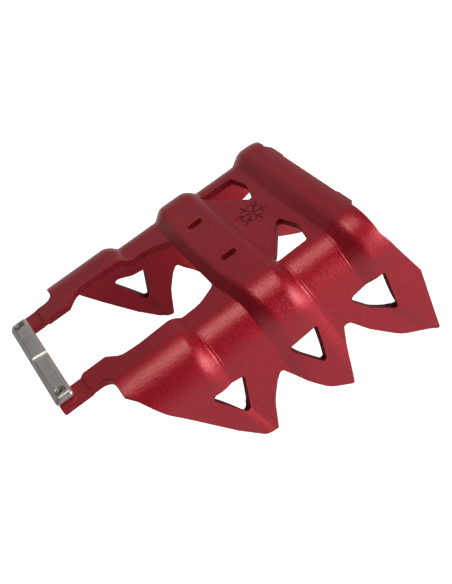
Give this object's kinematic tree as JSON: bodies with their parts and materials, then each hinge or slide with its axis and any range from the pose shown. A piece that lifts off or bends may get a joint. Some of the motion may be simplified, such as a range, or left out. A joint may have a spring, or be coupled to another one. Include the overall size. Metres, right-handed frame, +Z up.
{
  "type": "ski crampon",
  "caption": "Ski-touring crampon: a formed, red anodised aluminium plate with toothed flanges down both sides and a steel pivot bar riveted across its front arms.",
  "frame": {"origin": "bottom centre of the bounding box, on the floor that the middle and rear tooth tips stand on, with the front two 0.5 mm above it", "axes": "+Y along the ski towards the heel, with the pivot bar at -Y; +X across the ski, with left at -X and right at +X as seen along +Y; +Z up from the tooth tips"},
  "size_m": [0.1014, 0.1424, 0.0615],
  "materials": {
    "anodised_plate": "satin red anodising over a bead-blasted surface",
    "bar_steel": "satin",
    "rivet_steel": "satin"
  },
  "bodies": {
    "root": {"crampon_plate": "anodised_plate", "pivot_bar": "bar_steel", "rivet_left": "rivet_steel", "rivet_right": "rivet_steel"}
  },
  "joints": []
}
